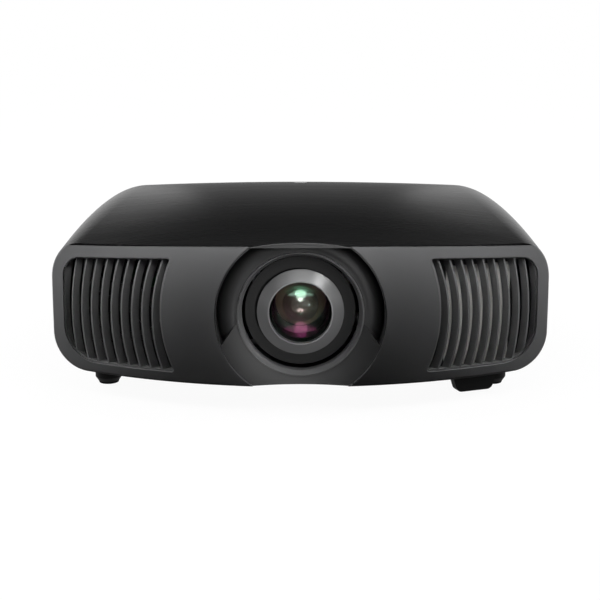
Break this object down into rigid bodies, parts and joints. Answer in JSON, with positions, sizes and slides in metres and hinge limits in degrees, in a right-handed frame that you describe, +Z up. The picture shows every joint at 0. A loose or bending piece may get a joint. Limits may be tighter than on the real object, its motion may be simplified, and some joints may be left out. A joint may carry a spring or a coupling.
{
  "type": "home projector",
  "caption": "Wide home projector with a bowed front, louvred grilles beside a centred motor-shifted zoom lens, screw feet, a pull-out air filter and a rear socket panel.",
  "frame": {"origin": "bottom centre of the whole object, on the table the feet stand on", "axes": "+X across the width, to the right seen from the front; +Y towards the rear, so the lens faces -Y; +Z up"},
  "size_m": [0.527, 0.4468, 0.193],
  "materials": {
    "casing_front": "satin",
    "casing_top": "fine hairline satin",
    "casing_base": "satin",
    "grille": "satin",
    "dish": "satin black",
    "collar": "satin black",
    "bezel": "satin grey",
    "black_plastic": "matte",
    "window": "smoked",
    "rubber": "matte",
    "steel": "brushed",
    "zinc": "plated",
    "brass": "turned",
    "aluminium": "cast",
    "board": "solder mask",
    "glass": "coated",
    "gear": "moulded",
    "media": "pleated"
  },
  "bodies": {
    "housing": {"bottom_case": "casing_base", "top_cover": "casing_top", "front_panel": "casing_front", "rear_panel": "casing_base", "exhaust_grille": "grille", "intake_grille": "grille", "lens_surround": "dish", "lens_collar": "collar", "indicator_window": "window", "case_screws": "steel", "ceiling_inserts": "brass", "rear_feet": "rubber", "key_board": "board", "video_sockets": "zinc", "data_sockets": "zinc", "network_socket": "zinc", "power_inlet": "black_plastic", "main_board": "board", "power_board": "board", "lens_mount": "aluminium", "lift_rod": "steel", "lift_motor": "steel", "engine_case": "black_plastic", "prism": "glass", "lcd_panels": "black_plastic", "light_housing": "aluminium", "laser_bank": "aluminium", "heat_sink": "aluminium", "exhaust_fan_frame": "black_plastic", "intake_fan_frame": "black_plastic"},
    "lift_stage": {"lift_stage": "aluminium", "shift_rod": "steel", "shift_motor": "steel"},
    "lens": {"shift_plate": "aluminium", "lens_barrel": "black_plastic", "lens_bezel": "bezel", "lens_motors": "steel"},
    "focus_ring": {"focus_ring": "gear"},
    "focus_pinion": {"focus_pinion": "gear"},
    "focus_group": {"focus_cell": "black_plastic", "front_lens": "glass"},
    "zoom_ring": {"zoom_ring": "gear"},
    "zoom_pinion": {"zoom_pinion": "gear"},
    "zoom_group": {"zoom_cell": "black_plastic", "zoom_lens": "glass"},
    "lift_screw": {"lift_screw": "steel"},
    "shift_screw": {"shift_screw": "steel"},
    "intake_fan": {"intake_fan_rotor": "black_plastic"},
    "exhaust_fan": {"exhaust_fan_rotor": "black_plastic"},
    "left_foot_pad": {"left_foot_pad": "rubber"},
    "left_foot_knob": {"left_foot_knob": "black_plastic"},
    "right_foot_pad": {"right_foot_pad": "rubber"},
    "right_foot_knob": {"right_foot_knob": "black_plastic"},
    "filter": {"filter_cassette": "black_plastic", "filter_media": "media"},
    "power_button": {"power_button": "black_plastic"},
    "enter_button": {"enter_button": "black_plastic"},
    "menu_button": {"menu_button": "black_plastic"},
    "escape_button": {"escape_button": "black_plastic"},
    "arrow_pad": {"arrow_pad": "black_plastic"}
  },
  "joints": [
    {"name": "lens_lift", "type": "slide", "parent": "housing", "child": "lift_stage", "axis": [0, 0, 1], "range_m": [-0.009, 0.009]},
    {"name": "lift_screw_spin", "type": "hinge", "parent": "housing", "child": "lift_screw", "pos_m": [-0.073, -0.07, 0.1], "axis": [0, 0, 1], "range_deg": [-1081, 1081]},
    {"name": "lens_shift", "type": "slide", "parent": "lift_stage", "child": "lens", "axis": [1, 0, 0], "range_m": [-0.0077, 0.0077]},
    {"name": "shift_screw_spin", "type": "hinge", "parent": "lift_stage", "child": "shift_screw", "pos_m": [0, -0.07, 0.058], "axis": [1, 0, 0], "range_deg": [-925, 925]},
    {"name": "focus_turn", "type": "hinge", "parent": "lens", "child": "focus_ring", "pos_m": [0, -0.179, 0.0965], "axis": [0, 1, 0], "range_deg": [-50, 50]},
    {"name": "focus_pinion_spin", "type": "hinge", "parent": "lens", "child": "focus_pinion", "pos_m": [0.04418, -0.179, 0.12411], "axis": [0, 1, 0], "range_deg": [-322, 322]},
    {"name": "focus_slide", "type": "slide", "parent": "lens", "child": "focus_group", "axis": [0, 1, 0], "range_m": [-0.002, 0.002]},
    {"name": "zoom_turn", "type": "hinge", "parent": "lens", "child": "zoom_ring", "pos_m": [0, -0.132, 0.0965], "axis": [0, 1, 0], "range_deg": [-50, 50]},
    {"name": "zoom_pinion_spin", "type": "hinge", "parent": "lens", "child": "zoom_pinion", "pos_m": [-0.04252, -0.132, 0.12105], "axis": [0, 1, 0], "range_deg": [-301, 301]},
    {"name": "zoom_slide", "type": "slide", "parent": "lens", "child": "zoom_group", "axis": [0, 1, 0], "range_m": [-0.012, 0.012]},
    {"name": "intake_fan_spin", "type": "hinge", "parent": "housing", "child": "intake_fan", "pos_m": [0.185, -0.125, 0.0965], "axis": [0, 1, 0], "continuous": true},
    {"name": "exhaust_fan_spin", "type": "hinge", "parent": "housing", "child": "exhaust_fan", "pos_m": [-0.185, -0.125, 0.0965], "axis": [0, 1, 0], "continuous": true},
    {"name": "left_foot_extend", "type": "slide", "parent": "housing", "child": "left_foot_pad", "axis": [0, 0, -1], "range_m": [0, 0.015]},
    {"name": "left_foot_turn", "type": "hinge", "parent": "left_foot_pad", "child": "left_foot_knob", "pos_m": [-0.21, -0.125, 0], "axis": [0, 0, -1], "range_deg": [0, 3600]},
    {"name": "right_foot_extend", "type": "slide", "parent": "housing", "child": "right_foot_pad", "axis": [0, 0, -1], "range_m": [0, 0.015]},
    {"name": "right_foot_turn", "type": "hinge", "parent": "right_foot_pad", "child": "right_foot_knob", "pos_m": [0.21, -0.125, 0], "axis": [0, 0, -1], "range_deg": [0, 3600]},
    {"name": "filter_pull", "type": "slide", "parent": "housing", "child": "filter", "axis": [0, 0, -1], "range_m": [0, 0.15]},
    {"name": "power_button_press", "type": "slide", "parent": "housing", "child": "power_button", "axis": [0, -1, 0], "range_m": [0, 0.0009], "stiffness_N_per_m": 800},
    {"name": "enter_button_press", "type": "slide", "parent": "housing", "child": "enter_button", "axis": [0, -1, 0], "range_m": [0, 0.0009], "stiffness_N_per_m": 800},
    {"name": "menu_button_press", "type": "slide", "parent": "housing", "child": "menu_button", "axis": [0, -1, 0], "range_m": [0, 0.0009], "stiffness_N_per_m": 800},
    {"name": "escape_button_press", "type": "slide", "parent": "housing", "child": "escape_button", "axis": [0, -1, 0], "range_m": [0, 0.0009], "stiffness_N_per_m": 800},
    {"name": "arrow_pad_press", "type": "slide", "parent": "housing", "child": "arrow_pad", "axis": [0, -1, 0], "range_m": [0, 0.0009], "stiffness_N_per_m": 800}
  ],
  "couplings": [
    {"joint": "lift_screw_spin", "follows": "lens_lift", "rad_per_m": 2094.4},
    {"joint": "shift_screw_spin", "follows": "lens_shift", "rad_per_m": 2094.4},
    {"joint": "focus_pinion_spin", "follows": "focus_turn", "ratio": -6.4286},
    {"joint": "focus_slide", "follows": "focus_turn", "m_per_rad": 0.00229},
    {"joint": "zoom_pinion_spin", "follows": "zoom_turn", "ratio": -6},
    {"joint": "zoom_slide", "follows": "zoom_turn", "m_per_rad": 0.01375},
    {"joint": "left_foot_extend", "follows": "left_foot_turn", "m_per_rad": 0.0002387},
    {"joint": "right_foot_extend", "follows": "right_foot_turn", "m_per_rad": 0.0002387}
  ]
}
